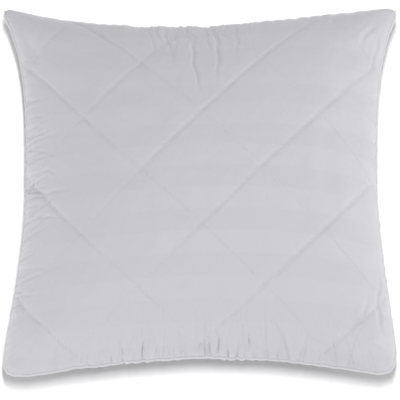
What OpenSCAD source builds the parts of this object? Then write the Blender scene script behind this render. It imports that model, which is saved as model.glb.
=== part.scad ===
// Square bed pillow with piped edges and a diamond quilted cover, lying on its back.
// The origin is at the middle of the face that it rests on, with +Z up through its thickness.

/* [Pillow] */
// Width from corner tip to corner tip, piping included
pillow_w = 500; // [350:10:700]
// Length from corner tip to corner tip, piping included
pillow_l = 500; // [350:10:700]
// Height of the seam above the surface that the pillow lies on
seam_h = 66; // [50:1:90]
// Height of the front crown above the seam
crown_h = 84; // [60:1:120]
// Depth that the back would bulge to below the seam if nothing pressed on it
back_h = 84; // [70:1:110]
// How far the middle of each side is drawn in from the line between its tips
side_draw = 26; // [5:1:40]
// How suddenly the sides flare out to the corner ears
ear_power = 2.4; // [1.5:0.1:5]

/* [Layers] */
// Thickness of the woven cover
cover_t = 0.6; // [0.4:0.1:1]
// Thickness of the quilting wadding
wadding_t = 4; // [2:0.5:8]
// Thickness of the non-woven lining
lining_t = 0.4; // [0.3:0.1:0.8]
// Clearance between one layer and the next
layer_gap = 0.2; // [0.1:0.1:0.5]

/* [Piping] */
// Outside diameter of the piping
piping_d = 5; // [4:0.5:8]
// Diameter of the filler cord in the piping
piping_cord_d = 3.6; // [2.5:0.1:6]
// Thickness of the bias strip round the cord
strip_t = 0.5; // [0.3:0.1:0.6]
// Width of the flange that the strip leaves in the seam
flange_w = 10; // [6:1:14]

/* [Quilting] */
// Diagonal of one quilted diamond
diamond = 157; // [80:1:220]
// Thickness of the quilting thread
quilt_thread_d = 0.8; // [0.5:0.1:1.2]

/* [Seam] */
// Thickness of the seam thread
seam_thread_d = 0.6; // [0.4:0.1:0.7]
// Distance of the seam thread in from the piping
seam_inset = 2; // [1.5:0.5:4]
// Length of the opening in the lower side that is sewn up after filling
closing_l = 180; // [100:10:220]

/* [Label] */
// Width of the care label
label_w = 26; // [15:1:40]
// How far the folded label reaches round the back's curve, in degrees
label_turn = 27; // [15:1:32]
// Thickness of the label ribbon, which lies double
label_t = 0.3; // [0.2:0.1:0.4]
// Place of the label along the left side, from the middle
label_y = -120; // [-160:10:160]

/* [Hidden] */

// Half sizes of the panels inside the piping, before the rounding of the tips takes tip_loss off.
tip_loss = 2.7;
half_w = pillow_w / 2 - piping_d + tip_loss;
half_l = pillow_l / 2 - piping_d + tip_loss;
// Clearance between a thread and the cloth or the thread under it.
thread_clear = 0.1;
// Half the gap between front and back panels at the seam, which holds the flange and seam thread.
seam_gap = strip_t + thread_clear + seam_thread_d + layer_gap;
// Depth of each layer's outer and inner face below the outside of the cover.
wadding_out = cover_t + layer_gap;
wadding_in = wadding_out + wadding_t;
lining_out = wadding_in + layer_gap;
lining_in = lining_out + lining_t;
fill_out = lining_in + layer_gap;
// Size of the block that the back cover is cut flat with at the resting face.
cut_w = 2 * pillow_w;
cut_l = 2 * pillow_l;
cut_h = 2 * back_h;
// The crown's profile, and how squarely the corner tips are rounded.
crown_power = 0.48;
tip_power = 60;
rim_power = 24;
// Rings from the middle to the rim, and steps along each side.
rings = 10;
side_steps = 12;
rim_n = 4 * side_steps;
// Spacing of the rings of points along a thread, and the sides of its section.
thread_step = 24;
thread_sides = 5;
// How far a quilting thread stays from the rim, as a share of the half size.
quilt_end = 0.985;

// A point on the edge of the square of half size 1, k sides round from the right side.
function square_point(k, s) =
    k == 0 ? [1, s] : k == 1 ? [-s, 1] : k == 2 ? [-1, -s] : [s, -1];

// The same point with the square's corners rounded off.
function rounded(p) =
    p / pow(pow(abs(p.x), tip_power) + pow(abs(p.y), tip_power), 1 / tip_power);

// The rim, with its points drawn together towards the tips.
rim = [
    for (k = [0 : 3], i = [0 : side_steps - 1])
        rounded(square_point(k, sin(90 * (2 * i / side_steps - 1))))
];

// Share of side_draw that applies at t, from 1 in the middle of a side to 0 at its tips.
function draw_in(t) = 1 - pow(min(1, abs(t)), ear_power);

// Where panel point p, from -1 to 1 each way, lies in plan, d inside the panel's outline.
function plan(p, d) = [
    p.x * (half_w - d - side_draw * draw_in(p.y)),
    p.y * (half_l - d - side_draw * draw_in(p.x))
];

// Share of the crown's height over panel point p.
function rise(p) =
    pow(max(0, (1 - p.x * p.x) * (1 - p.y * p.y)), crown_power)
    * sqrt(max(0, 1 - pow(max(abs(p.x), abs(p.y)), rim_power)));

// A point of the front face (side 1) or the back face (side -1), d below the cover's outside.
// The back's inner layers are pressed flat where they lie, and its cover is cut flat afterwards.
function face_point(p, d, side) = let (
    xy = plan(p, d),
    front_z = seam_h + seam_gap + (crown_h - d) * rise(p),
    back_z = seam_h - seam_gap - (back_h - d) * rise(p)
) [xy.x, xy.y, side > 0 ? front_z : d > 0 ? max(d, back_z) : back_z];

// All points of one face: the middle first, then ring after ring out to the rim.
function face_points(d, side) = concat(
    [face_point([0, 0], d, side)],
    [for (k = [1 : rings], p = rim) face_point(p * sin(90 * k / rings), d, side)]
);

// A closed solid between an upper and a lower face, joined round the rim.
module between(upper, lower) {
    n = len(upper);
    last = n - rim_n;
    function at(k, i) = 1 + (k - 1) * rim_n + i % rim_n;
    polyhedron(
        points = concat(upper, lower),
        faces = concat(
            [for (i = [0 : rim_n - 1]) [0, at(1, i + 1), at(1, i)]],
            [for (i = [0 : rim_n - 1]) [n, n + at(1, i), n + at(1, i + 1)]],
            [for (k = [1 : rings - 1], i = [0 : rim_n - 1])
                [at(k, i), at(k, i + 1), at(k + 1, i)]],
            [for (k = [1 : rings - 1], i = [0 : rim_n - 1])
                [at(k, i + 1), at(k + 1, i + 1), at(k + 1, i)]],
            [for (k = [1 : rings - 1], i = [0 : rim_n - 1])
                [n + at(k, i), n + at(k + 1, i), n + at(k, i + 1)]],
            [for (k = [1 : rings - 1], i = [0 : rim_n - 1])
                [n + at(k, i + 1), n + at(k + 1, i), n + at(k + 1, i + 1)]],
            [for (i = [0 : rim_n - 1]) [last + i, last + (i + 1) % rim_n, n + last + i]],
            [for (i = [0 : rim_n - 1])
                [last + (i + 1) % rim_n, n + last + (i + 1) % rim_n, n + last + i]]
        )
    );
}

module front_layer(outer, inner) {
    between(face_points(outer, 1), face_points(inner, 1));
}

module back_layer(outer, inner) {
    between(face_points(inner, -1), face_points(outer, -1));
}

// Sweeps a section, given as points [outward, up], round a route of points and directions.
// Each direction is the route's outward one. A closed route's last ring joins its first.
module sweep(route, outward, section, closed) {
    m = len(section);
    n = len(route);
    points = [
        for (i = [0 : n - 1], s = section)
            route[i] + s.x * outward[i] + s.y * [0, 0, 1]
    ];
    spans = closed ? n : n - 1;
    walls = [
        for (i = [0 : spans - 1], j = [0 : m - 1])
            let (a = i * m, b = (i + 1) % n * m, k = (j + 1) % m)
                each [[a + j, b + j, a + k], [a + k, b + j, b + k]]
    ];
    ends = closed
        ? []
        : [[for (j = [m - 1 : -1 : 0]) (n - 1) * m + j], [for (j = [0 : m - 1]) j]];
    polyhedron(points = points, faces = concat(walls, ends));
}

function unit(v) = v / norm(v);
function circle_points(r, n) = [for (i = [0 : n - 1]) r * [cos(-360 * i / n), sin(-360 * i / n)]];

// Outward direction in plan at rim point p, square to the chord over a small angle there.
chord_turn = 0.02;
function outward_at(p) = let (
    a = atan2(p.y, p.x),
    before = rim_at(a - chord_turn),
    after = rim_at(a + chord_turn),
    t = unit(after - before)
) [t.y, -t.x, 0];

// The seam's outline in plan, at angle a round the middle.
function rim_at(a) = let (c = cos(a), s = sin(a), m = max(abs(c), abs(s)))
    plan(rounded([c / m, s / m]), 0);

// The route of a cord or strip along rim points, d outside the seam and dz above it.
function rim_route(points, d, dz) = [
    for (p = points) let (xy = plan(p, 0), o = outward_at(p))
        [xy.x + d * o.x, xy.y + d * o.y, seam_h + dz]
];
function outwards(points) = [for (p = points) outward_at(p)];

module front_cover() {
    color([0.93, 0.925, 0.94])
        front_layer(0, cover_t);
}

module front_wadding() {
    color([0.97, 0.97, 0.97])
        front_layer(wadding_out, wadding_in);
}

module front_lining() {
    color([0.9, 0.9, 0.92])
        front_layer(lining_out, lining_in);
}

module back_cover() {
    color([0.93, 0.925, 0.94])
        difference() {
            back_layer(0, cover_t);
            translate([0, 0, -cut_h / 2])
                cube([cut_w, cut_l, cut_h], center = true);
        }
}

module back_wadding() {
    color([0.97, 0.97, 0.97])
        back_layer(wadding_out, wadding_in);
}

module back_lining() {
    color([0.9, 0.9, 0.92])
        back_layer(lining_out, lining_in);
}

module fibre_fill() {
    color([0.98, 0.98, 0.98])
        between(face_points(fill_out, 1), face_points(fill_out, -1));
}

// One straight quilting line on the flat panel, where x + way * y = c, laid over the face.
// The lines of the second way were sewn over the first, so they lie a thread higher.
module quilting_line(c, way, side) {
    reach = half_w * quilt_end;
    x0 = max(-reach, c - reach);
    x1 = min(reach, c + reach);
    steps = max(2, ceil((x1 - x0) * sqrt(2) / thread_step));
    r = quilt_thread_d / 2;
    lift = way > 0 ? quilt_thread_d + thread_clear : 0;
    over = r + layer_gap + lift;
    route = [
        for (i = [0 : steps])
            let (
                x = x0 + (x1 - x0) * i / steps,
                q = face_point([x, way * (c - x)] / half_w, 0, side)
            )
                [q.x, q.y, max(r + lift, q.z + side * over)]
    ];
    across = [for (i = [0 : steps]) unit([-way, -1, 0])];
    sweep(route, across, circle_points(r, thread_sides), false);
}

module quilting(side) {
    count = ceil(2 * half_w / diamond);
    for (k = [-count : count - 1], way = [-1, 1]) {
        c = (k + 0.5) * diamond;
        if (abs(c) < 2 * half_w * quilt_end - diamond / 4)
            quilting_line(c, way, side);
    }
}

module front_quilting_thread() {
    color([0.97, 0.97, 0.98])
        quilting(1);
}

module back_quilting_thread() {
    color([0.97, 0.97, 0.98])
        quilting(-1);
}

// The strip's section: a ring round the cord whose two plies lie together as the flange.
piping_r = piping_d / 2;
strip_inner_r = piping_r - strip_t;
slit = 0.1;
// The strip turns from the ring into the flange this many degrees from the flange's own line.
strip_mouth = asin((strip_t + slit / 2) / piping_r);
slit_mouth = asin(slit / 2 / strip_inner_r);
arc_steps = 8;
strip_section = concat(
    [[-piping_r - flange_w, strip_t + slit / 2]],
    [for (i = [0 : arc_steps])
        let (a = 180 - strip_mouth - i * (360 - 2 * strip_mouth) / arc_steps)
            piping_r * [cos(a), sin(a)]],
    [[-piping_r - flange_w, -strip_t - slit / 2], [-piping_r - flange_w, -slit / 2]],
    [for (i = [0 : arc_steps])
        let (a = 180 + slit_mouth + i * (360 - 2 * slit_mouth) / arc_steps)
            strip_inner_r * [cos(a), sin(a)]],
    [[-piping_r - flange_w, slit / 2]]
);

module piping_cover() {
    color([0.92, 0.915, 0.93])
        sweep(rim_route(rim, piping_r, 0), outwards(rim), strip_section, true);
}

module piping_cord() {
    color([0.96, 0.95, 0.92])
        sweep(
            rim_route(rim, piping_r, 0), outwards(rim),
            circle_points(piping_cord_d / 2, thread_sides + 1), true
        );
}

// The closing stretch as a share of the lower side, and the clear stretch at each of its ends.
closing_s = closing_l / 2 / (half_w - seam_inset);
closing_end = 0.97;
closing_steps = 6;
closing_clear = 0.05;
lower_side = 3;
// Panel points of the seam line, from one end of the closing stretch round to its other end.
seam_points = concat(
    [rounded(square_point(lower_side, closing_s))],
    [for (i = [1 : side_steps])
        let (s = sin(90 * (2 * i / side_steps - 1)))
            if (s > closing_s + closing_clear) rounded(square_point(lower_side, s))],
    [for (i = [1 : 3 * side_steps]) rim[i % rim_n]],
    [for (i = [1 : side_steps - 1])
        let (s = sin(90 * (2 * i / side_steps - 1)))
            if (s < -closing_s - closing_clear) rounded(square_point(lower_side, s))],
    [rounded(square_point(lower_side, -closing_s))]
);
closing_points = [
    for (i = [0 : closing_steps])
        rounded(square_point(lower_side, closing_s * closing_end * (2 * i / closing_steps - 1)))
];
seam_thread_z = strip_t + thread_clear + seam_thread_d / 2;

// A needle thread above the flange and a bobbin thread below it.
module seam_threads(points) {
    for (way = [-1, 1])
        sweep(
            rim_route(points, -seam_inset, way * seam_thread_z), outwards(points),
            circle_points(seam_thread_d / 2, thread_sides), false
        );
}

module assembly_seam_thread() {
    color([0.95, 0.95, 0.97])
        seam_threads(seam_points);
}

module closing_seam_thread() {
    color([0.9, 0.9, 0.95])
        seam_threads(closing_points);
}

// The label's path in the plane across it: out of the seam and down over the back's curve.
label_steps = 6;
label_clear = 1;
label_root = 1.4;
label_seam = let (q = plan([-1, label_y / half_l], 0)) [q.x, seam_h];
label_path = concat(
    [[label_root, -seam_thread_z] + label_seam],
    [for (i = [0 : label_steps])
        let (
            a = label_turn * i / label_steps,
            q = face_point([-cos(a), label_y / half_l], 0, -1)
        )
            [q.x - label_clear * sin(90 * i / label_steps), q.z]]
);

// The path's points moved sideways by d.
function beside(path, d) = [
    for (i = [0 : len(path) - 1])
        let (t = unit(path[min(i + 1, len(path) - 1)] - path[max(i - 1, 0)]))
            path[i] + d * [t.y, -t.x]
];

module care_label() {
    far_side = beside(label_path, -label_t);
    color([0.98, 0.98, 0.98])
        translate([0, label_y + label_w / 2, 0])
            rotate([90, 0, 0])
                linear_extrude(label_w)
                    polygon(concat(
                        beside(label_path, label_t),
                        [for (i = [len(far_side) - 1 : -1 : 0]) far_side[i]]
                    ));
}

front_cover();
front_wadding();
front_lining();
front_quilting_thread();
back_cover();
back_wadding();
back_lining();
back_quilting_thread();
fibre_fill();
piping_cover();
piping_cord();
assembly_seam_thread();
closing_seam_thread();
care_label();
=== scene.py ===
"""A square bed pillow with quilted satin-stripe covers, a piped seam and fibre fill, in metres."""
import math

import bpy
import numpy as np
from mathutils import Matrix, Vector


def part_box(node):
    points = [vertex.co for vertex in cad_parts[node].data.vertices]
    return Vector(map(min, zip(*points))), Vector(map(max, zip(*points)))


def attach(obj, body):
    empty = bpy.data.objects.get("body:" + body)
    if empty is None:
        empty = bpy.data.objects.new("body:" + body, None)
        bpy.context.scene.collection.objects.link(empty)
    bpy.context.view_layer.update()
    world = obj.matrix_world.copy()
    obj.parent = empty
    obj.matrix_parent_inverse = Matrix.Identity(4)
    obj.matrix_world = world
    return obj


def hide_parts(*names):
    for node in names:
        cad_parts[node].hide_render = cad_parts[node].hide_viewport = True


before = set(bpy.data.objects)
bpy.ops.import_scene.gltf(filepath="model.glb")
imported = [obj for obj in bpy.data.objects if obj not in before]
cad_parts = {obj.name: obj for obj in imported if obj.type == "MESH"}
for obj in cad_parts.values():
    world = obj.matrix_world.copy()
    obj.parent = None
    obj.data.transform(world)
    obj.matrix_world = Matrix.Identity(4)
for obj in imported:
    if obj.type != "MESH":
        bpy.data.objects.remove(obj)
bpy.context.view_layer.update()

# ---------------------------------------------------------------- sizes from the frame
STRIP_LOW, STRIP_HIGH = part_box("piping_cover")
PIPING_R = (STRIP_HIGH.z - STRIP_LOW.z) / 2
SEAM_Z = (STRIP_HIGH.z + STRIP_LOW.z) / 2
# How much of the seam's half width the rounding of a tip takes off
TIP_LOSS = 0.0027
HALF = STRIP_HIGH.x - 2 * PIPING_R + TIP_LOSS
# Where a panel's rim lies against the piping, out from the seam and up or down from it
RIM_OUT = 0.0031
RIM_UP = 0.0028
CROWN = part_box("front_cover")[1].z - SEAM_Z - RIM_UP
LABEL_LOW, LABEL_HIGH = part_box("care_label")
CLOSING_LOW, CLOSING_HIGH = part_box("closing_seam_thread")
CORD_LOW, CORD_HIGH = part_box("piping_cord")
CORD_R = (CORD_HIGH.z - CORD_LOW.z) / 2

# ---------------------------------------------------------------- outline
# How far each side is drawn in at its middle, then the power of the flare on its low and high half
DRAWN = {
    "left": (0.0330, 1.50, 4.0),
    "right": (0.0295, 1.35, 4.0),
    "lower": (0.0290, 1.5, 2.2),
    "upper": (0.0285, 2.9, 1.2),
}
# How squarely each corner tip is rounded, by its column and row
TIP_POWER = {(-1, -1): 20, (1, -1): 16, (-1, 1): 65, (1, 1): 55}
TIP_DROOP = 0.006
# The seam's small sways up and down, and its puckers as a share of the distance from the middle
SEAM_SWAY = 0.0015
SEAM_PUCKER = 0.0022
# Length along the seam for each radian round the middle, over half the width
SEAM_ROUND = 1.3

# ---------------------------------------------------------------- cloth
# Cells along a side of the simulated cover, the side of its flat cloth and the steps to rest
CELLS = 90
FLAT = 0.530
STEPS = 25
CROWN_POWER = 0.48
ROUGHEN = 0.0002
# How much lower the crown is towards the upper side
SLUMP = 0.05
# The underside's smooth height over the floor, its least height and the softness of its edge
FLOOR_REST = 0.0012
FLOOR_CLEAR = 0.0002
FLOOR_SOFT = 0.005
# Share of a panel's half width over which it follows its rim onto the piping
RIM_FADE = 0.10

# ---------------------------------------------------------------- panels
# Cells of a panel's fine grid, and how many of them make a cell of the layers under it
FINE = 297
STRIDE = 3
COVER_T = 0.0006
WADDING_T = 0.0040
LINING_T = 0.0004
LAYER_GAP = 0.0002
# Share of the cover's relief that the layers under it follow
FOLLOW = 0.6
# The quilting diamond's diagonal, and how far its pattern is moved up the cloth
DIAMOND = 0.166
QUILT_SHIFT = 0.004
# Where the quilting ends, as a share of the half side, and how far from the seam it flattens out
QUILT_END = 0.975
QUILT_RIM = 0.012
# Depth and width of a quilting groove, of the hollow round it and of its puckers
GROOVE = 0.0013
GROOVE_W = 0.0031
HOLLOW = 0.0005
HOLLOW_W = 0.011
PUCKER = 0.00008
PUCKER_W = 0.006
BILLOW = 0.0006
BILLOW_SEED = 30

# ---------------------------------------------------------------- piping, stitches and label
STRIP_T = 0.0005
STRIP_STEP = 0.0022
STRIP_PUCKER = 0.05
FLANGE_W = 0.010
SLIT = 0.0001
CORD_STEP = 0.0020
CORD_LAY = 0.012
CORD_STRANDS = 3
CORD_SIDES = 18
CORD_DIP = 0.20
# A stitch's arch and thickness from end to end, as shares of its lift and of its thread's radius
STITCH_ARCH = (-0.6, 0.7, 1.0, 0.7, -0.6)
STITCH_TAPER = (0.55, 0.95, 1.0, 0.95, 0.55)
STITCH_SIDES = 5
QUILT_STITCH = 0.0032
QUILT_STITCH_SHARE = 0.86
QUILT_THREAD_R = 0.00026
QUILT_LIFT = 0.00035
SEAM_INSET = 0.002
SEAM_STITCH = 0.0028
SEAM_STITCH_SHARE = 0.88
SEAM_THREAD_R = 0.0003
SEAM_LIFT = 0.00008
LABEL_ROWS = 24
LABEL_COLUMNS = 12
LABEL_T = 0.0002
# How much shorter the ribbon is than its CAD box, and how far it starts under the rim
LABEL_SHORT = 0.003
LABEL_DROP = 0.002
# How far the ribbon stands off the cloth at its top, how much more at its fold, then its wave
# and half the gap between its plies
LABEL_CLEAR = 0.0016
LABEL_HANG = 0.004
LABEL_WAVE = 0.0006
LABEL_LOFT = 0.00045

RNG = np.random.default_rng(7)


# ================================================================ shape of the stuffed cover
def drawn(side, t):
    """How far a side is drawn in at t, from -1 at its low tip to 1 at its high tip."""
    depth, low_power, high_power = DRAWN[side]
    t = np.clip(t, -1, 1)
    return depth * (1 - np.where(t < 0, np.abs(t) ** low_power, np.abs(t) ** high_power))


def rounded(u, v):
    """The same place with the square's corner tips rounded off, which fades out inwards."""
    ring = np.maximum(np.abs(u), np.abs(v))
    power = np.where(
        u < 0,
        np.where(v < 0, TIP_POWER[-1, -1], TIP_POWER[-1, 1]),
        np.where(v < 0, TIP_POWER[1, -1], TIP_POWER[1, 1]),
    )
    slope = np.minimum(np.abs(u), np.abs(v)) / np.maximum(ring, 1e-9)
    shrink = (1 + slope ** power) ** (-1 / power)
    share = 1 - (1 - shrink) * ring ** 8
    return u * share, v * share


def plan(u, v):
    """Where the place u, v of a panel, from -1 to 1 each way, lies in plan."""
    u, v = rounded(u, v)
    x = u * HALF + drawn("left", v) * (1 - u) / 2 - drawn("right", v) * (1 + u) / 2
    y = v * HALF + drawn("lower", u) * (1 - v) / 2 - drawn("upper", u) * (1 + v) / 2
    return x, y


def rise(u, v):
    """Share of the crown's height over the place u, v."""
    return np.clip((1 - u * u) * (1 - v * v), 0, None) ** CROWN_POWER


def along_crown(share, height):
    """Places across a crown of that height at equal steps of the cloth that covers it."""
    x = np.sin(np.linspace(0, math.pi / 2, 400))
    z = height * (1 - x * x).clip(0) ** CROWN_POWER
    run = np.concatenate([[0], np.cumsum(np.hypot(np.diff(x), np.diff(z)))])
    return np.sign(share) * np.interp(np.abs(share), run / run[-1], x)


def start_grid(cells):
    """The dome that the cloth starts from, as grids of u, v and height."""
    t = np.linspace(-1, 1, cells + 1)
    u = np.zeros((cells + 1, cells + 1))
    v = np.zeros((cells + 1, cells + 1))
    for k in range(cells + 1):
        height = CROWN / HALF * max(0.0, 1 - t[k] ** 2) ** CROWN_POWER
        u[:, k] = along_crown(t, height)
        v[k, :] = along_crown(t, height)
    return t, u, v, CROWN * rise(u, v)


def two_panels(cells, x, y, z, roughen):
    """Corner numbers, places and faces of a front and a back panel that share their rim."""
    number, places, faces = {}, [], []

    def corner(side, i, j):
        """The number of one corner, whose place is added when it is first met."""
        on_rim = i in (0, cells) or j in (0, cells)
        key = (0 if on_rim else side, i, j)
        if key not in number:
            number[key] = len(places)
            lift = 0.0 if on_rim else side * z[i, j] + roughen[side][i, j]
            places.append((x[i, j], y[i, j], lift))
        return number[key]

    for side in (1, -1):
        for i in range(cells):
            for j in range(cells):
                ring = [(i, j), (i + 1, j), (i + 1, j + 1), (i, j + 1)]
                face = [corner(side, a, b) for a, b in ring]
                faces.append(face if side > 0 else face[::-1])
    return number, places, faces


def add_cloth(piece, rest_key):
    """Cloth that the fill's pressure blows up, held along the seam."""
    modifier = piece.modifiers.new("Cloth", "CLOTH")
    cloth = modifier.settings
    cloth.rest_shape_key = rest_key
    cloth.quality = 5
    cloth.mass = 0.1
    cloth.air_damping = 3.0
    cloth.bending_model = "ANGULAR"
    cloth.tension_stiffness = 20
    cloth.compression_stiffness = 20
    cloth.shear_stiffness = 2
    cloth.bending_stiffness = 40
    cloth.tension_damping = 10
    cloth.compression_damping = 10
    cloth.shear_damping = 1
    cloth.bending_damping = 0.5
    cloth.use_pressure = True
    cloth.uniform_pressure_force = 4
    cloth.effector_weights.gravity = 0
    cloth.vertex_group_mass = "seam"
    cloth.pin_stiffness = 1
    modifier.collision_settings.use_collision = False
    modifier.collision_settings.use_self_collision = False
    modifier.point_cache.frame_start = 1
    modifier.point_cache.frame_end = STEPS


def blown_up(number, places, faces, flat):
    """Where the corners of the sewn cover come to rest when it is stuffed."""
    mesh = bpy.data.meshes.new("cloth")
    mesh.from_pydata(places, [], faces)
    piece = bpy.data.objects.new("cloth", mesh)
    scene = bpy.context.scene
    scene.collection.objects.link(piece)
    seam = piece.vertex_groups.new(name="seam")
    seam.add([number[key] for key in number if key[0] == 0], 1.0, "REPLACE")
    piece.shape_key_add(name="Basis")
    rest_key = piece.shape_key_add(name="flat")
    rest_key.data.foreach_set("co", np.array(flat, np.float32).ravel())
    rest_key.value = 0
    add_cloth(piece, rest_key)
    scene.frame_start, scene.frame_end = 1, STEPS
    for step in range(1, STEPS + 1):
        scene.frame_set(step)
    result = piece.evaluated_get(bpy.context.evaluated_depsgraph_get()).data
    found = np.empty(len(places) * 3, np.float32)
    result.vertices.foreach_get("co", found)
    scene.frame_set(1)
    bpy.data.objects.remove(piece)
    bpy.data.meshes.remove(mesh)
    return found.reshape(-1, 3).astype(float)


def stuffed_cover():
    """Front and back panel as grids of places, by cloth simulation."""
    t, u, v, z = start_grid(CELLS)
    x, y = plan(u, v)
    roughen = {side: RNG.normal(size=z.shape) * ROUGHEN for side in (1, -1)}
    number, places, faces = two_panels(CELLS, x, y, z, roughen)
    flat = [(t[i] * FLAT / 2, t[j] * FLAT / 2, 0.0) for _, i, j in number]
    found = blown_up(number, places, faces, flat)
    panels = {1: np.zeros(z.shape + (3,)), -1: np.zeros(z.shape + (3,))}
    for (side, i, j), k in number.items():
        for each in (side,) if side else (1, -1):
            panels[each][i, j] = found[k]
    return panels


def spline_weights(coarse, fine):
    """Weights of a smooth spline through a row of points, for a finer row."""
    weights = np.zeros((fine + 1, coarse + 3))
    at = np.linspace(0, coarse, fine + 1)
    cell = np.minimum(at.astype(int), coarse - 1)
    f = at - cell
    shares = (
        (1 - f) ** 3,
        3 * f ** 3 - 6 * f ** 2 + 4,
        1 + 3 * f + 3 * f ** 2 - 3 * f ** 3,
        f ** 3,
    )
    for k, share in enumerate(shares):
        weights[np.arange(fine + 1), cell + k] = share / 6
    inside = weights[:, 1:-1].copy()
    inside[:, 0] += 2 * weights[:, 0]
    inside[:, 1] -= weights[:, 0]
    inside[:, -1] += 2 * weights[:, -1]
    inside[:, -2] -= weights[:, -1]
    return inside


def smooth_noise(seed, count, shortest, longest):
    """A gentle random function of one length, between about -1 and 1."""
    rng = np.random.default_rng(seed)
    waves = 2 * math.pi / rng.uniform(shortest, longest, count)
    phases = rng.uniform(0, 2 * math.pi, count)

    def value(s):
        return sum(np.sin(w * s + p) for w, p in zip(waves, phases)) / math.sqrt(count)

    return value


RIM_SWAY = smooth_noise(11, 7, 0.05, 0.16)
RIM_PUCKER = smooth_noise(12, 9, 0.012, 0.03)


def seam_line(u, v):
    """The seam itself at rim places u, v: the outline with small sways and puckers."""
    x, y = plan(u, v)
    run = np.arctan2(y, x) * HALF * SEAM_ROUND
    nearness = (np.minimum(np.abs(u), np.abs(v)) / np.maximum(np.abs(u), np.abs(v))) ** 6
    inward = 1 - SEAM_PUCKER * RIM_PUCKER(run) * (1 - nearness)
    z = SEAM_SWAY * RIM_SWAY(run) - TIP_DROOP * nearness
    return np.stack([x * inward, y * inward, z], -1)


def shoulder(u, v, side):
    """Where a panel's rim lies against the piping, above or below the seam line."""
    place = seam_line(u, v)
    ahead = np.roll(place, -1, axis=0) - np.roll(place, 1, axis=0)
    ahead[0], ahead[-1] = place[1] - place[0], place[-1] - place[-2]
    ahead /= np.linalg.norm(ahead, axis=1, keepdims=True)
    outward = np.stack([ahead[:, 1], -ahead[:, 0], np.zeros(len(u))], -1)
    outward *= np.sign((outward * place).sum(1, keepdims=True))
    return place + RIM_OUT * outward + [0, 0, side * RIM_UP]


def fit_rim(panel, side):
    """Moves the rim of a fine panel onto the piping, and what is near it along with it."""
    t = np.linspace(-1, 1, FINE + 1)
    one = np.ones_like(t)
    panel = panel + [0, 0, side * RIM_UP]
    fade = np.exp(-((1 - np.abs(t)) / RIM_FADE) ** 2)
    low, high = fade * (t < 0), fade * (t >= 0)
    off = shoulder(-one, t, side) - panel[0]
    panel = panel + low[:, None, None] * off[None]
    off = shoulder(one, t, side) - panel[-1]
    panel = panel + high[:, None, None] * off[None]
    off = shoulder(t, -one, side) - panel[:, 0]
    panel = panel + low[None, :, None] * off[:, None]
    off = shoulder(t, one, side) - panel[:, -1]
    return panel + high[None, :, None] * off[:, None]


def soft_floor(z, floor):
    """Presses heights under the floor up onto it, with a soft edge all round."""
    return floor + FLOOR_SOFT * np.logaddexp(0, (z - floor) / FLOOR_SOFT)


def settled(panels):
    """The fine panels, with the crown at its height and the underside pressed flat on the floor."""
    weights = spline_weights(CELLS, FINE)
    fine = {}
    for side, panel in panels.items():
        smooth = np.einsum("ia,abk,jb->ijk", weights, panel, weights)
        v = smooth[..., 1] / HALF
        smooth[..., 2] *= 1 - SLUMP * v
        smooth[..., 2] *= CROWN / np.abs(smooth[..., 2]).max()
        smooth = fit_rim(smooth, side)
        smooth[..., 2] += SEAM_Z
        fine[side] = smooth
    fine[-1][..., 2] = soft_floor(fine[-1][..., 2], FLOOR_REST)
    return fine


# ================================================================ fine relief of the panels
def quilt_distance(x, y):
    """Distances from the nearest quilting line of each way."""
    found = []
    y = y - QUILT_SHIFT
    for across in (x + y, x - y):
        turn = across / DIAMOND - 0.5
        found.append(np.abs(turn - np.round(turn)) * DIAMOND / math.sqrt(2))
    return found


def below(value, edge, fade=0.04):
    """Falls from 1 under the edge to 0 over it."""
    return 1 / (1 + np.exp((value - edge) / fade))


def bell(distance, width):
    """Falls from 1 at no distance to almost 0 at twice the width."""
    return np.exp(-((distance / width) ** 2))


def quilting_relief(x, y):
    """Grooves that the quilting thread pulls in, the hollows round them and their small puckers."""
    relief = np.zeros_like(x)
    pull = smooth_noise(21, 9, 0.006, 0.014)
    uneven = smooth_noise(22, 6, 0.03, 0.09)
    falling, rising = quilt_distance(x, y)
    # Falling lines are pulled tight at the left; rising ones all but at the lower left, and
    # tightest at the lower right
    falling_hold = 0.10 + 1.15 * below(x, -0.07)
    rising_hold = 0.25 + 0.60 * below(-x - y, 0.11) + 0.70 * below(y - x, -0.20)
    for near, run, hold in ((falling, x - y, falling_hold), (rising, x + y + 5.0, rising_hold)):
        groove = (1 + 0.25 * uneven(run)) * bell(near, GROOVE_W)
        relief -= hold * (GROOVE * groove + HOLLOW * bell(near, HOLLOW_W))
        relief += PUCKER * pull(run) * bell(near, PUCKER_W)
    return relief


# Fine gathers at each side: how many, their depth, where they are deepest and how far that spreads
GATHERS = {
    "left": (84, 0.0030, -0.10, 0.56),
    "right": (66, 0.0010, -0.10, 0.80),
    "lower": (100, 0.0016, 0.15, 0.85),
    "upper": (76, 0.0015, -0.05, 0.36),
}
# How far in from the seam they reach, where along the side they end, and their least share
GATHER_REACH = 0.075
GATHER_END = 0.95
GATHER_LEAST = 0.22
GATHER_WIDTHS = (0.0018, 0.0030)
GATHER_LENGTHS = (0.012, 0.055)
# How much they lean at random, fan out towards the tips and bend
GATHER_SLANT = 0.13
GATHER_FAN = 0.35
GATHER_BEND = 3.0
# How soon they start from the seam
GATHER_SEAM = 0.0020
GATHER_SEED = 40


def fold(off, waves):
    """A crease's section, from 1 in its middle, with a slight ridge to each side."""
    return np.exp(-off ** 2 / 2) * np.cos(waves * off)


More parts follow.
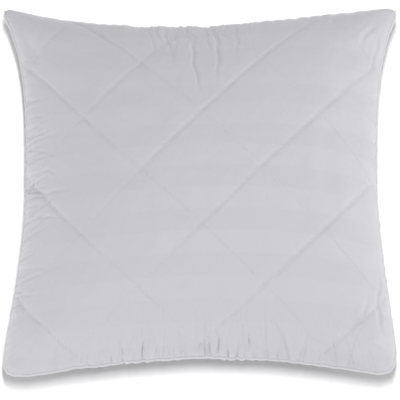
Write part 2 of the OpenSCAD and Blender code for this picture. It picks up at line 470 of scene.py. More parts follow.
def gather_relief(side, seed, along, inward):
    """Gathers that run in from one side; along and inward are lengths on the flat panel."""
    count, depth, centre, spread = GATHERS[side]
    rng = np.random.default_rng(seed)
    relief = np.zeros_like(along)
    evenly = np.linspace(-GATHER_END, GATHER_END, count)
    gap = 2 * GATHER_END / count
    for place in evenly + rng.uniform(-0.4, 0.4, count) * gap:
        share = GATHER_LEAST + (1 - GATHER_LEAST) * math.exp(-((place - centre) / spread) ** 4)
        deep = depth * share * rng.uniform(0.25, 1.3)
        width = rng.uniform(*GATHER_WIDTHS)
        length = rng.uniform(*GATHER_LENGTHS) * (0.5 + 0.5 * share)
        slant = rng.normal(0, GATHER_SLANT) - GATHER_FAN * place
        bend = rng.normal(0, GATHER_BEND)
        off = (along - place * FLAT / 2 - slant * inward - bend * inward ** 2) / width
        relief -= deep * fold(off, 1.7) * bell(inward, length)
    return depth * np.tanh(relief / depth) * (1 - np.exp(-inward / GATHER_SEAM))


# Single deeper creases of the front: both ends on the flat panel, width and depth
CREASES = (
    ((-0.240, -0.012), (-0.190, -0.018), 0.0032, 0.00208),
    ((-0.236, 0.020), (-0.205, 0.012), 0.0030, 0.00130),
    ((-0.238, -0.045), (-0.200, -0.052), 0.0030, 0.00130),
    ((0.018, 0.255), (0.028, 0.140), 0.0034, 0.00169),
    ((-0.014, 0.215), (-0.006, 0.120), 0.0032, 0.00156),
    ((0.045, 0.250), (0.052, 0.185), 0.0030, 0.00104),
    ((-0.050, 0.245), (-0.042, 0.180), 0.0030, 0.00104),
    ((-0.030, 0.252), (-0.036, 0.165), 0.0028, 0.00104),
    ((0.004, 0.252), (0.012, 0.185), 0.0026, 0.00117),
    ((-0.074, 0.245), (-0.060, 0.195), 0.0028, 0.00091),
    ((0.026, -0.262), (0.022, -0.225), 0.0034, 0.00234),
    ((0.070, -0.262), (0.064, -0.235), 0.0030, 0.00156),
    ((0.243, -0.130), (0.236, -0.205), 0.0036, 0.00182),
    ((0.226, -0.170), (0.205, -0.205), 0.0040, 0.00130),
    ((-0.215, 0.238), (-0.238, 0.190), 0.0050, 0.00091),
    ((-0.240, 0.215), (-0.246, 0.170), 0.0040, 0.00078),
    ((0.238, 0.235), (0.222, 0.200), 0.0045, 0.00156),
    ((0.250, 0.215), (0.244, 0.160), 0.0035, 0.00130),
)
# Soft dents and swellings of the front: the middle, the two radii and the height
SWELLS = (
    ((0.222, -0.246), (0.016, 0.012), -0.0045),
    ((0.200, -0.260), (0.009, 0.008), -0.0026),
    ((-0.238, 0.196), (0.010, 0.016), -0.0025),
    ((-0.232, 0.228), (0.012, 0.020), 0.0020),
    ((-0.210, -0.232), (0.030, 0.022), 0.0020),
    ((0.232, -0.222), (0.014, 0.018), 0.0025),
)
CREASE_BOW = 0.06
CREASE_WAVER = 0.0012
CREASE_WAVE = 0.006
CREASE_RIM = 0.003


def crease_relief(x, y):
    """The single creases and dents of the front panel."""
    relief = np.zeros_like(x)
    for k, ((x0, y0), (x1, y1), width, depth) in enumerate(CREASES):
        bow = CREASE_BOW * (-1) ** k
        run = math.hypot(x1 - x0, y1 - y0)
        ax, ay = (x1 - x0) / run, (y1 - y0) / run
        along = (x - (x0 + x1) / 2) * ax + (y - (y0 + y1) / 2) * ay
        off = (x - x0) * ay - (y - y0) * ax + bow * run * (2 * along / run) ** 2
        across = (off + CREASE_WAVER * np.sin(along / CREASE_WAVE + k)) / width
        relief -= depth * np.exp(-((2 * along / run) ** 4)) * fold(across, 1.5)
    for (x0, y0), (rx, ry), height in SWELLS:
        relief += height * bell(x - x0, rx) * bell(y - y0, ry)
    return relief


def billow_relief(x, y, seed):
    """Slow swells of the loose fill under the cover."""
    first = smooth_noise(seed, 6, 0.05, 0.14)
    second = smooth_noise(seed + 1, 6, 0.06, 0.16)
    return BILLOW * (first(x + 0.6 * y) * second(y - 0.5 * x) + 0.5 * first(y) * second(x))


def panel_relief(side):
    """Everything that stands proud of, or sinks into, the smooth panel."""
    t = np.linspace(-FLAT / 2, FLAT / 2, FINE + 1)
    x, y = np.meshgrid(t, t, indexing="ij")
    rim = FLAT / 2 - np.maximum(np.abs(x), np.abs(y))
    relief = quilting_relief(x, y) + billow_relief(x, y, BILLOW_SEED + side)
    relief *= 1 - bell(rim, QUILT_RIM)
    sides = {
        "left": (y, FLAT / 2 + x),
        "right": (y, FLAT / 2 - x),
        "lower": (x, FLAT / 2 + y),
        "upper": (x, FLAT / 2 - y),
    }
    for number, (name, (along, inward)) in enumerate(sides.items()):
        near = inward < GATHER_REACH
        seed = GATHER_SEED + number + 10 * side
        relief[near] += gather_relief(name, seed, along[near], inward[near])
    if side > 0:
        relief += crease_relief(x, y) * (1 - bell(rim, CREASE_RIM))
    return relief


def normals_of(panel, side):
    """Unit normals of a panel's grid, out of the pillow."""
    along_x = np.gradient(panel, axis=0)
    along_y = np.gradient(panel, axis=1)
    normal = np.cross(along_x, along_y) * side
    length = np.linalg.norm(normal, axis=-1, keepdims=True)
    return normal / np.maximum(length, 1e-12)


def lowest_nearby(field, reach):
    """The least value of a grid within reach cells of each corner."""
    padded = np.pad(field, reach, mode="edge")
    size = field.shape[0]
    shifts = range(2 * reach + 1)
    return np.min([padded[a:a + size, b:b + size] for a in shifts for b in shifts], axis=0)


# ================================================================ meshes
def new_piece(name, places, faces, uvs=None, smooth=True):
    """A mesh object from places, faces and, for each corner, its place on the flat cloth."""
    mesh = bpy.data.meshes.new(name)
    mesh.from_pydata([tuple(p) for p in places], [], faces)
    if uvs is not None:
        layer = mesh.uv_layers.new(name="flat")
        corners = np.empty(len(mesh.loops), int)
        mesh.loops.foreach_get("vertex_index", corners)
        layer.data.foreach_set("uv", np.asarray(uvs, np.float32)[corners].ravel())
    if smooth:
        mesh.shade_smooth()
    mesh.validate()
    mesh.update()
    piece = bpy.data.objects.new(name, mesh)
    bpy.context.scene.collection.objects.link(piece)
    return piece


def rim_numbers(size):
    """Grid places of the rim in turn, anticlockwise from the lowest corner."""
    last = size - 1
    lower = [(i, 0) for i in range(last)]
    right = [(last, j) for j in range(last)]
    upper = [(i, last) for i in range(last, 0, -1)]
    left = [(0, j) for j in range(last, 0, -1)]
    return lower + right + upper + left


def grid_faces(size, first, flip):
    """Quads of a square grid whose corners are numbered from first."""
    i, j = np.meshgrid(np.arange(size - 1), np.arange(size - 1), indexing="ij")
    a = first + i * size + j
    quads = np.stack([a, a + size, a + size + 1, a + 1], -1).reshape(-1, 4)
    return (quads[:, ::-1] if flip else quads).tolist()


def shell(name, outer, inner, side):
    """A closed layer between an outer grid and a coarser or equal inner one."""
    fine, coarse = outer.shape[0], inner.shape[0]
    step = (fine - 1) // (coarse - 1)
    first = fine * fine
    faces = grid_faces(fine, 0, side < 0) + grid_faces(coarse, first, side > 0)
    rim = [i * fine + j for i, j in rim_numbers(fine)]
    inside = [first + i * coarse + j for i, j in rim_numbers(coarse)]
    for k in range(len(inside)):
        following = (k + 1) % len(inside)
        run = [rim[(k * step + m) % len(rim)] for m in range(step + 1)]
        half = step // 2
        fan = [[inside[k], run[m + 1], run[m]] for m in range(half)]
        fan += [[inside[k], inside[following], run[half]]]
        fan += [[inside[following], run[m + 1], run[m]] for m in range(half, step)]
        faces += [face if side > 0 else face[::-1] for face in fan]
    uvs = []
    for grid in (fine, coarse):
        t = np.linspace(-FLAT / 2, FLAT / 2, grid)
        x, y = np.meshgrid(t, t, indexing="ij")
        uvs.append(np.stack([x, y], -1).reshape(-1, 2))
    places = np.concatenate([outer.reshape(-1, 3), inner.reshape(-1, 3)])
    return new_piece(name, places, faces, np.concatenate(uvs))


def run_along(points):
    """Length along a row of points, up to each of them."""
    return np.concatenate([[0], np.cumsum(np.linalg.norm(np.diff(points, axis=0), axis=1))])


def swept(route, outward, up, sections):
    """Places, faces and flat places of sections of [outward, up] points on a closed route."""
    count, around = len(route), sections.shape[1]
    places = (
        route[:, None]
        + sections[..., :1] * outward[:, None]
        + sections[..., 1:] * up[:, None]
    ).reshape(-1, 3)
    i, j = np.meshgrid(np.arange(count), np.arange(around), indexing="ij")
    a, b = i * around, (i + 1) % count * around
    k = (j + 1) % around
    faces = np.stack([a + j, b + j, b + k, a + k], -1).reshape(-1, 4).tolist()
    round_it = np.linspace(0, 2 * math.pi * PIPING_R, around)
    uvs = np.stack(np.meshgrid(run_along(route), round_it, indexing="ij"), -1).reshape(-1, 2)
    return places, faces, uvs


# ================================================================ the seam's route
def seam_route(spacing):
    """Lengths, places, outward and upward directions along the seam, at equal steps."""
    t = np.linspace(-1, 1, 2001)[:-1]
    one = np.ones_like(t)
    u = np.concatenate([t, one, -t, -one])
    v = np.concatenate([-one, t, one, -t])
    line = seam_line(u, v) + [0, 0, SEAM_Z]
    closed = np.concatenate([line, line[:1]])
    run = run_along(closed)
    count = int(round(run[-1] / spacing))
    at = np.linspace(0, run[-1], count + 1)[:-1]
    route = np.stack([np.interp(at, run, closed[:, k]) for k in range(3)], -1)
    way = np.roll(route, -1, axis=0) - np.roll(route, 1, axis=0)
    way /= np.linalg.norm(way, axis=1, keepdims=True)
    outward = np.stack([way[:, 1], -way[:, 0], np.zeros(count)], -1)
    outward /= np.linalg.norm(outward, axis=1, keepdims=True)
    up = np.cross(outward, way)
    return at, route, outward, up


def strip_section(radius, steps=20):
    """The bias strip's section: a ring round the cord with two plies as its flange."""
    inside = radius - STRIP_T
    mouth = math.asin((STRIP_T + SLIT / 2) / radius)
    slit = math.asin(SLIT / 2 / inside)
    outer = np.linspace(math.pi - mouth, -math.pi + mouth, steps)
    inner = np.linspace(-math.pi + slit, math.pi - slit, steps)
    tail = -radius - FLANGE_W
    plies = np.linspace(tail, -radius - 0.001, 4)
    top = np.stack([plies, np.full(4, STRIP_T + SLIT / 2)], -1)
    under = np.stack([plies[::-1], np.full(4, -STRIP_T - SLIT / 2)], -1)
    inner_low = np.stack([plies, np.full(4, -SLIT / 2)], -1)
    inner_high = np.stack([plies[::-1], np.full(4, SLIT / 2)], -1)
    round_out = radius * np.stack([np.cos(outer), np.sin(outer)], -1)
    round_in = inside * np.stack([np.cos(inner), np.sin(inner)], -1)
    return np.concatenate([top, round_out, under, inner_low, round_in, inner_high])


def make_piping_cover():
    """The strip round the cord, drawn into small puckers by its stitching."""
    at, route, outward, up = seam_route(STRIP_STEP)
    pucker = smooth_noise(61, 10, 0.006, 0.02)(at)
    section = strip_section(PIPING_R)
    outside = np.hypot(section[:, 0], section[:, 1]) > PIPING_R - STRIP_T / 2
    outside &= section[:, 0] > -PIPING_R
    swell = 1 + STRIP_PUCKER * pucker[:, None] * outside[None]
    sections = section[None] * swell[..., None]
    places, faces, uvs = swept(route + PIPING_R * outward, outward, up, sections)
    return new_piece("piping_strip", places, faces, uvs)


def make_piping_cord():
    """A three-strand twisted cotton cord inside the strip."""
    at, route, outward, up = seam_route(CORD_STEP)
    angle = -np.arange(CORD_SIDES) * 2 * math.pi / CORD_SIDES
    turn = 2 * math.pi * at / (at[-1] / round(at[-1] / CORD_LAY))
    lobes = np.abs(np.cos((angle[None] * CORD_STRANDS - turn[:, None]) / 2))
    radius = CORD_R * (1 - CORD_DIP + CORD_DIP * lobes)
    sections = radius[..., None] * np.stack([np.cos(angle), np.sin(angle)], -1)[None]
    places, faces, uvs = swept(route + PIPING_R * outward, outward, up, sections)
    return new_piece("filler_cord", places, faces, uvs)


# ================================================================ stitches
def stitches(name, starts, ends, normals, radius, lift):
    """One thread stitch from each start to its end, arched by lift over the cloth."""
    sides, rings = STITCH_SIDES, len(STITCH_ARCH)
    share = np.linspace(0, 1, rings)
    arch = np.array(STITCH_ARCH) * lift
    thin = np.array(STITCH_TAPER) * radius
    way = ends - starts
    way /= np.maximum(np.linalg.norm(way, axis=1, keepdims=True), 1e-12)
    across = np.cross(normals, way)
    across /= np.maximum(np.linalg.norm(across, axis=1, keepdims=True), 1e-12)
    up = np.cross(way, across)
    angle = -np.arange(sides) * 2 * math.pi / sides
    middle = (
        starts[:, None] * (1 - share)[None, :, None]
        + ends[:, None] * share[None, :, None]
        + arch[None, :, None] * normals[:, None]
    )
    round_it = thin[None, :, None, None] * (
        np.cos(angle)[None, None, :, None] * across[:, None, None]
        + np.sin(angle)[None, None, :, None] * up[:, None, None]
    )
    places = (middle[:, :, None] + round_it).reshape(-1, 3)
    k = np.arange(sides)
    after = (k + 1) % sides
    band = np.stack([k, after, sides + after, sides + k], -1)
    bands = np.concatenate([band + r * sides for r in range(rings - 1)])
    per = rings * sides
    first = np.arange(len(starts)) * per
    faces = (bands[None] + first[:, None, None]).reshape(-1, 4).tolist()
    faces += [[f + k for k in range(sides)][::-1] for f in first]
    faces += [[f + per - sides + k for k in range(sides)] for f in first]
    return new_piece(name, places, faces)


def on_grid(grid, x, y):
    """Places of a grid at points x, y of the flat panel."""
    size = grid.shape[0] - 1
    a = np.clip((x / FLAT + 0.5) * size, 0, size - 1e-6)
    b = np.clip((y / FLAT + 0.5) * size, 0, size - 1e-6)
    i, j = a.astype(int), b.astype(int)
    f, g = (a - i)[:, None], (b - j)[:, None]
    return (
        grid[i, j] * (1 - f) * (1 - g) + grid[i + 1, j] * f * (1 - g)
        + grid[i, j + 1] * (1 - f) * g + grid[i + 1, j + 1] * f * g
    )


def make_quilting(name, outer, normals):
    """The rows of stitches along both ways of quilting lines."""
    reach = FLAT / 2 * QUILT_END
    starts, ends, ups = [], [], []
    count = math.ceil(FLAT / DIAMOND)
    for k in range(-count, count):
        for way in (-1, 1):
            c = (k + 0.5) * DIAMOND
            x0, x1 = max(-reach, c - reach), min(reach, c + reach)
            if x1 - x0 < DIAMOND / 4:
                continue
            steps = int((x1 - x0) * math.sqrt(2) / QUILT_STITCH)
            x = x0 + (x1 - x0) * np.arange(steps) / steps
            stitch = (x1 - x0) / steps * QUILT_STITCH_SHARE
            y = way * (c - x) + QUILT_SHIFT
            starts.append(on_grid(outer, x, y))
            ends.append(on_grid(outer, x + stitch, y - way * stitch))
            ups.append(on_grid(normals, x, y))
    starts, ends, ups = (np.concatenate(rows) for rows in (starts, ends, ups))
    ups /= np.linalg.norm(ups, axis=1, keepdims=True)
    return stitches(name, starts, ends, ups, QUILT_THREAD_R, QUILT_LIFT)


def seam_stitches(name, closing):
    """Needle and bobbin threads of the seam, in its closing stretch or everywhere else."""
    at, route, outward, up = seam_route(SEAM_STITCH)
    line = route - SEAM_INSET * outward
    x, y = route[:, 0], route[:, 1]
    in_closing = (y < -np.abs(x)) & (x > CLOSING_LOW.x) & (x < CLOSING_HIGH.x)
    keep = in_closing if closing else ~in_closing
    stitch = SEAM_STITCH_SHARE * (np.roll(line, -1, axis=0) - line)
    starts, ends, ups = [], [], []
    for way in (-1, 1):
        z = way * (STRIP_T + SLIT / 2 + SEAM_THREAD_R)
        starts.append(line[keep] + z * up[keep])
        ends.append((line + stitch)[keep] + z * up[keep])
        ups.append(way * up[keep])
    starts, ends, ups = (np.concatenate(rows) for rows in (starts, ends, ups))
    return stitches(name, starts, ends, ups, SEAM_THREAD_R, SEAM_LIFT)


# ================================================================ care label
def label_column(back, across, y, reach):
    """Places down one column of the ribbon's outer ply and back up its inner one."""
    j = int(np.argmin(np.abs(back[0, :, 1] - y)))
    profile = back[: FINE // 3, j, [0, 2]]
    run = run_along(profile)
    places = []
    for ply in (1, -1):
        for share in np.linspace(0, 1, LABEL_ROWS + 1):
            down = share if ply > 0 else 1 - share
            clear = LABEL_CLEAR + LABEL_HANG * down ** 1.5
            wave = LABEL_WAVE * math.sin(6 * across + 3 * share)
            loft = LABEL_LOFT * ply * (1 - (2 * share - 1) ** 8)
            x = np.interp(down * reach, run, profile[:, 0]) - clear - wave - loft
            z = np.interp(down * reach, run, profile[:, 1]) - LABEL_DROP
            places.append((x, y, z))
    return places


def make_label(back):
    """A folded ribbon: both ends in the seam, the loop hanging down over the back's side."""
    width = LABEL_HIGH.y - LABEL_LOW.y
    middle = (LABEL_HIGH.y + LABEL_LOW.y) / 2
    reach = LABEL_HIGH.z - LABEL_LOW.z - LABEL_SHORT
    places = []
    for across in np.linspace(-0.5, 0.5, LABEL_COLUMNS + 1):
        places += label_column(back, across, middle + across * width, reach)
    per = 2 * (LABEL_ROWS + 1)
    c, r = np.meshgrid(np.arange(LABEL_COLUMNS + 1), np.arange(per), indexing="ij")
    uvs = np.stack([c * width / LABEL_COLUMNS, r * 2 * reach / per], -1).reshape(-1, 2)
    a = (c * per + r)[:-1, :-1]
    faces = np.stack([a, a + 1, a + per + 1, a + per], -1).reshape(-1, 4).tolist()
    ribbon = new_piece("label_ribbon", places, faces, uvs)
    thicken = ribbon.modifiers.new("Thickness", "SOLIDIFY")
    thicken.thickness = LABEL_T
    thicken.offset = 0
    return ribbon, (width, 2 * reach)


# ================================================================ materials
class Nodes:
    """A material under construction, with short calls for its usual nodes."""

    def __init__(self, name, color, roughness, **sockets):
        self.material = bpy.data.materials.new(name)
        self.material.use_nodes = True
        self.tree = self.material.node_tree
        self.shader = self.tree.nodes["Principled BSDF"]
        self.shader.inputs["Base Color"].default_value = (*color, 1)
        self.shader.inputs["Roughness"].default_value = roughness
        for key, value in sockets.items():
            self.shader.inputs[key.replace("_", " ")].default_value = value

    def put(self, kind, inputs=(), **settings):
        """A new node, with each input wired or set."""
        node = self.tree.nodes.new(kind)
        for key, value in settings.items():
            setattr(node, key, value)
        for key, value in dict(inputs).items():
            if isinstance(value, bpy.types.NodeSocket):
                self.tree.links.new(value, node.inputs[key])
            else:
                node.inputs[key].default_value = value
        return node

    def math(self, operation, a, b=0.0):
        """One step of arithmetic."""
        return self.put("ShaderNodeMath", {0: a, 1: b}, operation=operation).outputs[0]

    def flat(self):
        """The place on the flat cloth, in metres."""
        return self.put("ShaderNodeUVMap", uv_map="flat").outputs["UV"]

    def place(self):
        """The place in the part's own frame, in metres."""
        return self.put("ShaderNodeTexCoord").outputs["Object"]

    def noise(self, vector, scale, detail=3.0, rough=0.55):
        """Cloudy noise, from 0 to 1."""
        inputs = {"Vector": vector, "Scale": scale, "Detail": detail, "Roughness": rough}
        return self.put("ShaderNodeTexNoise", inputs).outputs["Fac"]

    def streaks(self, vector, x, y, z=1.0, detail=2.0):
        """Noise drawn out like yarns; x, y and z are its scales each way."""
        inputs = {"Vector": vector, "Scale": (x, y, z)}
        drawn_out = self.put("ShaderNodeMapping", inputs).outputs["Vector"]
        return self.noise(drawn_out, 1.0, detail)

    def turned(self, vector, angle):
        """The same place in a frame that is turned in the cloth."""
        inputs = {"Vector": vector, "Rotation": (0, 0, angle)}
        return self.put("ShaderNodeMapping", inputs).outputs["Vector"]

    def between(self, value, low, high, to_low, to_high, kind="SMOOTHSTEP"):
        """Carries a value from one range into another."""
        inputs = {
            "Value": value,
            "From Min": low,
            "From Max": high,
            "To Min": to_low,
            "To Max": to_high,
        }
        return self.put("ShaderNodeMapRange", inputs, interpolation_type=kind).outputs["Result"]

    def mixed(self, share, a, b):
        """The colour that far from a to b."""
        node = self.put("ShaderNodeMix", {0: share}, data_type="RGBA")
        for socket, value in ((node.inputs[6], a), (node.inputs[7], b)):
            if isinstance(value, bpy.types.NodeSocket):
                self.tree.links.new(value, socket)
            else:
                socket.default_value = (*value, 1)
        return node.outputs[2]

    def toned(self, value, dark, light, low=0.3, high=0.7):
        """A colour from dark to light as a noise rises."""
        return self.mixed(self.between(value, low, high, 0.0, 1.0), dark, light)

    def bump(self, height, distance, strength=1.0, normal=None):
        """The normal of a fine relief, on top of another one."""
        inputs = {"Height": height, "Distance": distance, "Strength": strength}
        if normal is not None:
            inputs["Normal"] = normal
        return self.put("ShaderNodeBump", inputs).outputs["Normal"]

    def finish(self, color=None, roughness=None, normal=None):
        """The material, with its colour, roughness and normal wired."""
        wired = {"Base Color": color, "Roughness": roughness, "Normal": normal}
        for key, value in wired.items():
            if value is not None:
                self.tree.links.new(value, self.shader.inputs[key])
        return self.material


STRIPE = 0.0308
STRIPE_SHIFT = 0.003
WEAVE_PITCH = 0.0006
WEAVE_DEPTH = 0.00002
RIB_PITCH = 0.0004
# Scales along a yarn and across it
ALONG_YARN = 60.0
ACROSS_YARN = 2400.0
# Colours: satin and plain bands of the cover, the plain one painted a little darker as painted
# sheen, and its cloth where it is wrapped round the cord
WHITE = (0.652, 0.644, 0.676)
PLAIN_PAINTED_DULL = (0.641, 0.633, 0.666)
# The piping's cloth is painted lighter than the cover, to lift the shade along the piping
PIPING_PAINTED_LIGHTER = (0.700, 0.692, 0.722)
SPUNBOND = (0.88, 0.88, 0.90)
SPUNBOND_POINT = (0.82, 0.82, 0.85)
COTTON = (0.88, 0.86, 0.80)
COTTON_DARK = (0.79, 0.76, 0.69)
# Thread colours: painted lighter than the cover, to lift the shade the stitches sit in along the
# quilting grooves
THREAD_PAINTED_LIGHTER = (0.84, 0.835, 0.86)
THREAD_DARK = (0.81, 0.805, 0.83)
RIBBON = (0.87, 0.87, 0.88)
RIBBON_DARK = (0.83, 0.83, 0.845)
WADDING_WHITE = (0.93, 0.93, 0.93)
FILL_WHITE = (0.94, 0.94, 0.94)
FLOOR_WHITE = (0.90, 0.90, 0.90)
SATEEN = {"Sheen_Weight": 0.12, "Sheen_Roughness": 0.4, "Specular_IOR_Level": 0.45}


def dimmed(color, share):
    """A darker tone of a colour."""
    return tuple(c * share for c in color)


def weave(nodes, vector):
    """The normal of crossing yarns."""
    parts = nodes.put("ShaderNodeSeparateXYZ", {"Vector": vector})
    waves = []
    for axis in ("X", "Y"):
        turn = nodes.math("MULTIPLY", parts.outputs[axis], 2 * math.pi / WEAVE_PITCH)
        waves.append(nodes.math("SINE", turn))
    return nodes.bump(nodes.math("MULTIPLY", waves[0], waves[1]), WEAVE_DEPTH, 0.4)


def cover_material():
    """White cotton sateen in two weaves, whose bands run across the pillow; the satin bands' sheen
    is partly painted, as a lighter colour than the plain bands.
    """
    n = Nodes("cover_sateen", WHITE, 0.5, **SATEEN)
    flat = n.flat()
    across = n.put("ShaderNodeSeparateXYZ", {"Vector": flat}).outputs["Y"]
    shifted = n.math("SUBTRACT", across, STRIPE_SHIFT)
    wave = n.math("SINE", n.math("MULTIPLY", shifted, math.pi / STRIPE))
    band = n.between(wave, -0.05, 0.05, 0.0, 1.0)
    yarns = n.streaks(flat, ALONG_YARN, ACROSS_YARN)
    cross = n.streaks(flat, ACROSS_YARN, ALONG_YARN)
    slubs = n.math("MULTIPLY", n.math("ADD", yarns, cross), 0.5)
    mottle = n.noise(n.place(), 38.0, 4.0)
    tone = n.math("ADD", n.math("MULTIPLY", slubs, 0.6), n.math("MULTIPLY", mottle, 0.4))
    satin = n.toned(tone, dimmed(WHITE, 0.975), WHITE)
    # Plain bands a little darker in colour: painted sheen, on top of the real gloss difference in
    # roughness below
    plain = n.toned(tone, dimmed(PLAIN_PAINTED_DULL, 0.975), PLAIN_PAINTED_DULL)
    color = n.mixed(band, plain, satin)
    gloss = n.between(band, 0, 1, 0.58, 0.45, "LINEAR")
    rough = n.math("ADD", gloss, n.math("MULTIPLY", slubs, 0.08))
    cloth = n.bump(slubs, 0.00010, 0.5, weave(n, flat))
    soft = n.bump(n.noise(flat, 170.0, 3.0), 0.0004, 0.45, cloth)
    return n.finish(color, rough, soft)


def piping_material():
    """The cover's cloth cut on the bias, so that its yarns cross the piping at a slant."""
    # Its colour is painted lighter than the cover's, to lift the shade that falls along the piping.
    n = Nodes("piping_sateen", PIPING_PAINTED_LIGHTER, 0.52, **SATEEN)
    bias = n.turned(n.flat(), math.pi / 4)
    yarns = n.streaks(bias, 80.0, ACROSS_YARN)
    color = n.toned(yarns, dimmed(PIPING_PAINTED_LIGHTER, 0.955), PIPING_PAINTED_LIGHTER)
    rough = n.between(yarns, 0.3, 0.7, 0.48, 0.60)
    return n.finish(color, rough, n.bump(yarns, 0.00012, 0.6, weave(n, bias)))


def fleece_material(name, color, scale):
    """Loose crimped polyester fibre."""
    n = Nodes(name, color, 0.9, Sheen_Weight=0.3)
    place = n.place()
    tuft = n.noise(place, scale, 6.0, 0.65)
    strand = n.streaks(place, 1400.0, 160.0, 500.0, 3.0)
    tone = n.toned(tuft, dimmed(color, 0.9), color, 0.35, 0.65)
    rough = n.between(strand, 0.3, 0.7, 0.82, 0.96)
    hair = n.bump(strand, 0.0003, 0.6)
    return n.finish(tone, rough, n.bump(tuft, 0.002, 0.8, hair))


def lining_material():
    """Spunbonded cloth, pressed together in a close pattern of small points."""
    n = Nodes("lining_spunbond", SPUNBOND, 0.75)
    flat = n.flat()
    cells = n.put("ShaderNodeTexVoronoi", {"Vector": flat, "Scale": 650.0, "Randomness": 0.15})
    point = n.between(cells.outputs["Distance"], 0.15, 0.35, 0, 1)
    fibre = n.noise(flat, 900.0, 4.0)
    color = n.mixed(point, SPUNBOND_POINT, SPUNBOND)
    rough = n.between(fibre, 0.3, 0.7, 0.65, 0.85)
    return n.finish(color, rough, n.bump(point, 0.0001, 0.6, n.bump(fibre, 0.00005, 0.5)))


def cord_material():
    """Raw cotton yarn, spun and slightly hairy."""
    n = Nodes("cord_cotton", COTTON, 0.85, Sheen_Weight=0.2)
    ply = n.streaks(n.turned(n.flat(), 0.7), 90.0, 1500.0, detail=3.0)
    fleck = n.noise(n.place(), 700.0, 3.0)
    color = n.toned(ply, COTTON_DARK, COTTON)
    rough = n.between(fleck, 0.3, 0.7, 0.78, 0.92)
    return n.finish(color, rough, n.bump(ply, 0.0002, 0.7))


def thread_material():
    """Polyester sewing thread: two plies twisted together, with a slight gloss."""
    # Its white is painted lighter than the cover's, to lift the shade that the stitches sit in
    # along the quilting grooves.
    n = Nodes("sewing_thread", THREAD_PAINTED_LIGHTER, 0.5, Sheen_Weight=0.1)
    place = n.place()
    ply = n.noise(place, 2600.0, 2.0)
    tone = n.noise(place, 60.0, 2.0)
    color = n.toned(tone, THREAD_DARK, THREAD_PAINTED_LIGHTER, 0.35, 0.65)
    rough = n.between(ply, 0.3, 0.7, 0.36, 0.52)
    return n.finish(color, rough, n.bump(ply, 0.00008, 0.7))


def label_material():
    """White satin ribbon with close ribs across it."""
    n = Nodes("label_satin", RIBBON, 0.38, Sheen_Weight=0.1)
    flat = n.flat()
    rows = n.put("ShaderNodeSeparateXYZ", {"Vector": flat}).outputs["Y"]
    rib = n.math("SINE", n.math("MULTIPLY", rows, 2 * math.pi / RIB_PITCH))
    tone = n.noise(flat, 120.0, 3.0)
    color = n.toned(tone, RIBBON_DARK, RIBBON, 0.35, 0.65)
    rough = n.between(tone, 0.3, 0.7, 0.33, 0.45)
    return n.finish(color, rough, n.bump(rib, 0.00004, 0.6))


def floor_material():
    """A plain white studio floor."""
    return Nodes("studio_floor", FLOOR_WHITE, 0.9, Specular_IOR_Level=0.0).finish()


# ================================================================ studio
CAMERA_ELEVATION = math.radians(68.6)
CAMERA_DISTANCE = 14.0
CAMERA_TARGET = Vector((0, -0.0105, SEAM_Z))
CAMERA_REACH = 50
SENSOR = 36
# Width of what the camera sees at its target
VIEW_WIDTH = 0.503
FLOOR_HALF = 6.0
SKY = 0.53
# Lights on the pillow: place, width and power
LIGHTS = {
    "key": ((0.20, 0.30, 3.00), 1.4, 12),
    "right": ((2.10, -0.82, 0.90), 0.6, 12.2),
    "side": ((1.90, 1.10, 1.90), 0.6, 11),
    "left": ((-1.95, -1.30, 0.95), 0.6, 16),
}
# The floor's own light, high up so that the pillow's shadow stays narrow
WASH_PLACE = (0.12, -1.50, 8.00)
WASH_SIZE = (0.3, 2.0)
WASH_POWER = 455
LIGHT_TARGET = Vector((0, 0, 0.05))


def make_floor():
    """A wide white floor under the pillow."""
    far = FLOOR_HALF
    corners = [(-far, -far, 0), (far, -far, 0), (far, far, 0), (-far, far, 0)]
    floor = new_piece("studio_floor", corners, [[0, 1, 2, 3]], smooth=False)
    floor.data.materials.append(floor_material())
    return floor


def aim(thing, target):
    """Turns a camera or a light towards a place."""
    thing.rotation_mode = "QUATERNION"
    thing.rotation_quaternion = (target - thing.location).to_track_quat("-Z", "Y")


def make_camera():
    """A long lens from the photograph's side, high over the lower edge."""
    data = bpy.data.cameras.new("camera")
    camera = bpy.data.objects.new("camera", data)
    bpy.context.scene.collection.objects.link(camera)
    back = Vector((0, -math.cos(CAMERA_ELEVATION), math.sin(CAMERA_ELEVATION)))
    camera.location = CAMERA_TARGET + CAMERA_DISTANCE * back
    aim(camera, CAMERA_TARGET)
    data.sensor_width = SENSOR
    data.lens = SENSOR * CAMERA_DISTANCE / VIEW_WIDTH
    data.clip_end = CAMERA_REACH
    bpy.context.scene.camera = camera


def make_light(name, place, size, power):
    """A round soft light that is aimed at the pillow."""
    data = bpy.data.lights.new(name, "AREA")
    data.shape = "DISK"
    data.size = size
    data.energy = power
    light = bpy.data.objects.new(name, data)
    bpy.context.scene.collection.objects.link(light)
    light.location = place
    aim(light, LIGHT_TARGET)
    return light


def only(light, name, things):
    """Lets a light fall on these things alone."""
    lit = bpy.data.collections.new(name)
    for thing in things:
        lit.objects.link(thing)
    light.light_linking.receiver_collection = lit


def make_lights(dressed, floor):
    """A pale sky, the pillow's lights and the floor's own one."""
    world = bpy.data.worlds.new("studio")
    world.use_nodes = True
    sky = world.node_tree.nodes["Background"]
    sky.inputs["Color"].default_value = (1, 1, 1, 1)
    sky.inputs["Strength"].default_value = SKY
    bpy.context.scene.world = world
    for name, settings in LIGHTS.items():
        only(make_light(name, *settings), f"{name}_lit", dressed)
    wash = make_light("wash", WASH_PLACE, WASH_SIZE[0], WASH_POWER)
    wash.data.shape = "RECTANGLE"
    wash.data.size_y = WASH_SIZE[1]
    only(wash, "wash_lit", [floor])
    bpy.context.scene.view_settings.view_transform = "Standard"


# ================================================================ the pillow
DRESSED = []


def dress(piece, material, slot, *nodes):
    """Gives a piece its material and body, and hides the CAD nodes that it stands for; slot is not
    used.
    """
    DRESSED.append(piece)
    piece.data.materials.append(material)
    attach(piece, "root")
    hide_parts(*nodes)
    return piece


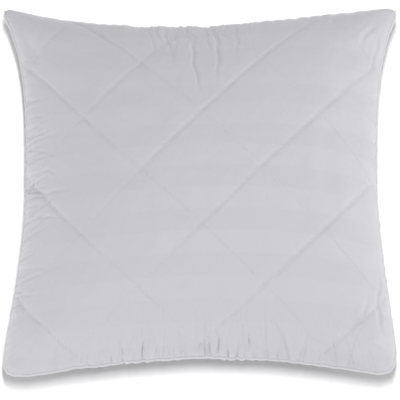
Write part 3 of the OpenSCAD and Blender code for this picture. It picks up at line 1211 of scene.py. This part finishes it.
def make_layers(side, name, panel, cover, fleece, lining, thread):
    """Cover, wadding, lining and quilting thread of the front or the back."""
    normals = normals_of(panel, side)
    relief = panel_relief(side)
    outer = panel + relief[..., None] * normals
    if side < 0:
        outer[..., 2] = np.maximum(outer[..., 2], FLOOR_CLEAR)
    rows = slice(None, None, STRIDE)
    low = lowest_nearby(relief, STRIDE)[rows, rows, None]
    base, out = panel[rows, rows], normals[rows, rows]

    def under(depth, follow=1.0):
        """The coarse grid that far under the cover's face, which follows a share of its relief."""
        places = base + (follow * low - depth) * out
        if side < 0:
            places[..., 2] = np.maximum(places[..., 2], depth)
        return places

    piece = shell(f"{name}_panel", outer, under(COVER_T), side)
    dress(piece, cover, "cover_fabric", f"{name}_cover")
    depth = COVER_T + LAYER_GAP
    piece = shell(f"{name}_batting", under(depth), under(depth + WADDING_T, FOLLOW), side)
    dress(piece, fleece, "wadding", f"{name}_wadding")
    depth += WADDING_T + LAYER_GAP
    piece = shell(f"{name}_backing", under(depth, FOLLOW), under(depth + LINING_T, FOLLOW), side)
    dress(piece, lining, "lining", f"{name}_lining")
    stitched = make_quilting(f"{name}_quilt_stitches", outer, normals_of(outer, side))
    dress(stitched, thread, "thread", f"{name}_quilting_thread")
    return under(depth + LINING_T + LAYER_GAP, FOLLOW)


def make_fill(front, back, material):
    """The stuffing, as one body between the two linings."""
    size = front.shape[0]
    faces = grid_faces(size, 0, False) + grid_faces(size, size * size, True)
    numbers = [i * size + j for i, j in rim_numbers(size)]
    for k, a in enumerate(numbers):
        b = numbers[(k + 1) % len(numbers)]
        faces.append([a, a + size * size, b + size * size, b])
    places = np.concatenate([front.reshape(-1, 3), back.reshape(-1, 3)])
    piece = new_piece("stuffing", places, faces)
    dress(piece, material, "fill", "fibre_fill")


def make_pillow():
    """Every piece of the pillow, from the covers to the label."""
    cover = cover_material()
    fleece = fleece_material("wadding_fleece", WADDING_WHITE, 220.0)
    stuffing = fleece_material("fill_fibre", FILL_WHITE, 90.0)
    lining = lining_material()
    thread = thread_material()
    panels = settled(stuffed_cover())
    inside = {}
    for side, name in ((1, "front"), (-1, "back")):
        inside[side] = make_layers(side, name, panels[side], cover, fleece, lining, thread)
    make_fill(inside[1], inside[-1], stuffing)
    dress(make_piping_cover(), piping_material(), "piping_fabric", "piping_cover")
    dress(make_piping_cord(), cord_material(), "cord", "piping_cord")
    dress(seam_stitches("seam_stitches", False), thread, "thread", "assembly_seam_thread")
    dress(seam_stitches("closing_stitches", True), thread, "thread", "closing_seam_thread")
    label, flat = make_label(panels[-1])
    dress(label, label_material(), "label", "care_label")


make_camera()
make_pillow()
make_lights(DRESSED, make_floor())
